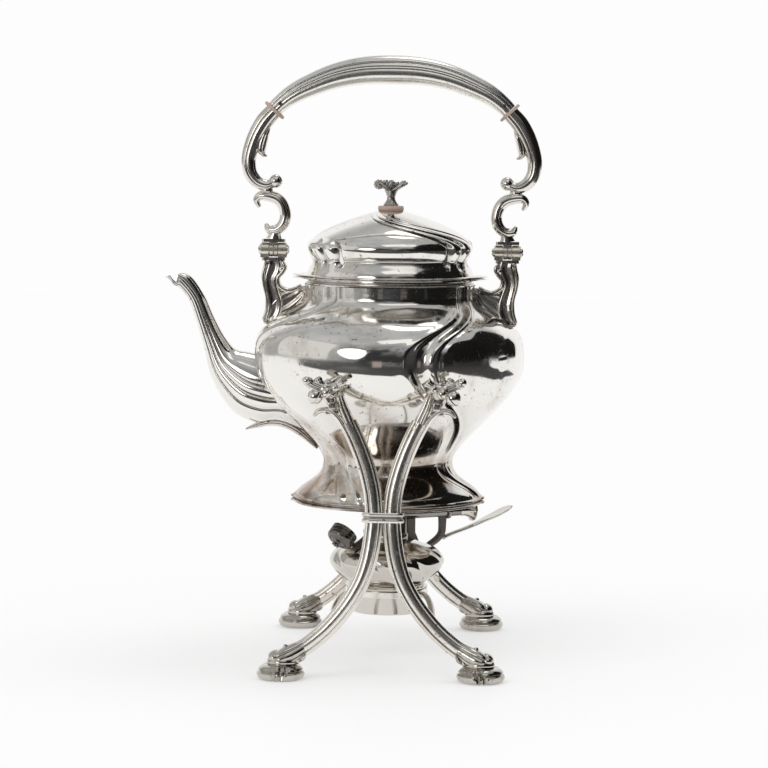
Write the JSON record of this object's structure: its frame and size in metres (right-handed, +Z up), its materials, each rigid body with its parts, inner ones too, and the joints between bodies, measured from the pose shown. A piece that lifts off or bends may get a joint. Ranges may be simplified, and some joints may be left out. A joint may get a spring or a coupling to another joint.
{
  "type": "spirit kettle on stand",
  "caption": "Silver swivel-handled tea kettle with swirled panels, hung on pins in a reeded cross-legged stand over a spirit burner with a wick knob and a snuffer.",
  "frame": {"origin": "where the kettle's own upright axis meets the table", "axes": "+Z up, the spout towards -X, the stand's two crossed frames at -Y and +Y"},
  "size_m": [0.2324, 0.2216, 0.37],
  "materials": {
    "polished_silver": "polished silver, slightly tarnished",
    "burner_silver": "polished silver, duller",
    "oxidised_metal": "dark oxidised",
    "insulator": "warm brown fibre",
    "cotton_wick": "braided cotton"
  },
  "bodies": {
    "stand": {"leg_front_heel": "polished_silver", "leg_front_spout": "polished_silver", "leg_back_heel": "polished_silver", "leg_back_spout": "polished_silver", "leg_band_front": "polished_silver", "leg_band_back": "polished_silver", "foot_pad_front_heel": "polished_silver", "foot_pad_front_spout": "polished_silver", "foot_pad_back_heel": "polished_silver", "foot_pad_back_spout": "polished_silver", "foot_cuffs": "polished_silver", "burner_carrier": "polished_silver"},
    "pivot_pins": {"pivot_pin_front_spout": "polished_silver", "pivot_pin_back_spout": "polished_silver"},
    "kettle": {"kettle_body": "polished_silver", "kettle_foot": "polished_silver", "kettle_rim": "polished_silver", "spout": "polished_silver", "spout_leaf": "polished_silver", "handle_socket_heel": "polished_silver", "handle_socket_spout": "polished_silver", "fixed_knuckles_heel": "polished_silver", "fixed_knuckles_spout": "polished_silver", "hinge_pin_heel": "polished_silver", "hinge_pin_spout": "polished_silver", "pivot_lug_front_heel": "polished_silver", "pivot_lug_front_spout": "polished_silver", "pivot_lug_back_heel": "polished_silver", "pivot_lug_back_spout": "polished_silver", "pivot_pin_front_heel": "polished_silver", "pivot_pin_back_heel": "polished_silver"},
    "lid": {"lid": "polished_silver", "lid_bezel": "polished_silver", "finial_washer": "insulator", "finial": "polished_silver", "finial_stud": "oxidised_metal", "finial_nut": "oxidised_metal"},
    "handle": {"handle_arm_heel": "polished_silver", "handle_arm_spout": "polished_silver", "swing_knuckle_heel": "polished_silver", "swing_knuckle_spout": "polished_silver", "insulating_ring_heel": "insulator", "insulating_ring_spout": "insulator", "handle_grip": "polished_silver", "grip_rivets": "polished_silver"},
    "burner": {"burner_tank": "burner_silver", "burner_base": "burner_silver", "burner_collar": "burner_silver", "wick_tube": "oxidised_metal", "spindle_post": "oxidised_metal", "spindle_sleeve": "burner_silver", "handle_strap": "oxidised_metal", "lifting_lever": "burner_silver", "snuffer_ears": "oxidised_metal", "snuffer_pin": "oxidised_metal"},
    "wick_drive": {"wick_wheel": "oxidised_metal", "wick_spindle": "oxidised_metal", "wick_knob": "burner_silver"},
    "wick": {"wick": "cotton_wick"},
    "snuffer": {"snuffer_cap": "oxidised_metal"}
  },
  "joints": [
    {"name": "kettle_lift", "type": "slide", "parent": "stand", "child": "pivot_pins", "axis": [0, 0, 1], "range_m": [0, 0.1]},
    {"name": "kettle_tilt", "type": "hinge", "parent": "pivot_pins", "child": "kettle", "pos_m": [-0.031, 0, 0.1615], "axis": [0, -1, 0], "range_deg": [0, 35]},
    {"name": "lid_lift", "type": "slide", "parent": "kettle", "child": "lid", "axis": [0, 0, 1], "range_m": [0, 0.045]},
    {"name": "handle_swing", "type": "hinge", "parent": "kettle", "child": "handle", "pos_m": [0, 0, 0.25], "axis": [1, 0, 0], "range_deg": [-85, 85]},
    {"name": "burner_turn", "type": "hinge", "parent": "stand", "child": "burner", "pos_m": [0, 0, 0.0416], "axis": [0, 0, 1], "range_deg": [-12, 20]},
    {"name": "wick_knob_turn", "type": "hinge", "parent": "burner", "child": "wick_drive", "pos_m": [-0.00429, 0.00687, 0.085], "axis": [-0.848, -0.5299, 0], "range_deg": [-120, 90]},
    {"name": "wick_feed", "type": "slide", "parent": "burner", "child": "wick", "axis": [0, 0, 1], "range_m": [-0.0055, 0.0041]},
    {"name": "snuffer_swing", "type": "hinge", "parent": "burner", "child": "snuffer", "pos_m": [-0.01089, -0.01089, 0.077], "axis": [-0.7071, 0.7071, 0], "range_deg": [0, 135]}
  ],
  "couplings": [
    {"joint": "wick_feed", "follows": "wick_knob_turn", "m_per_rad": 0.00255}
  ]
}
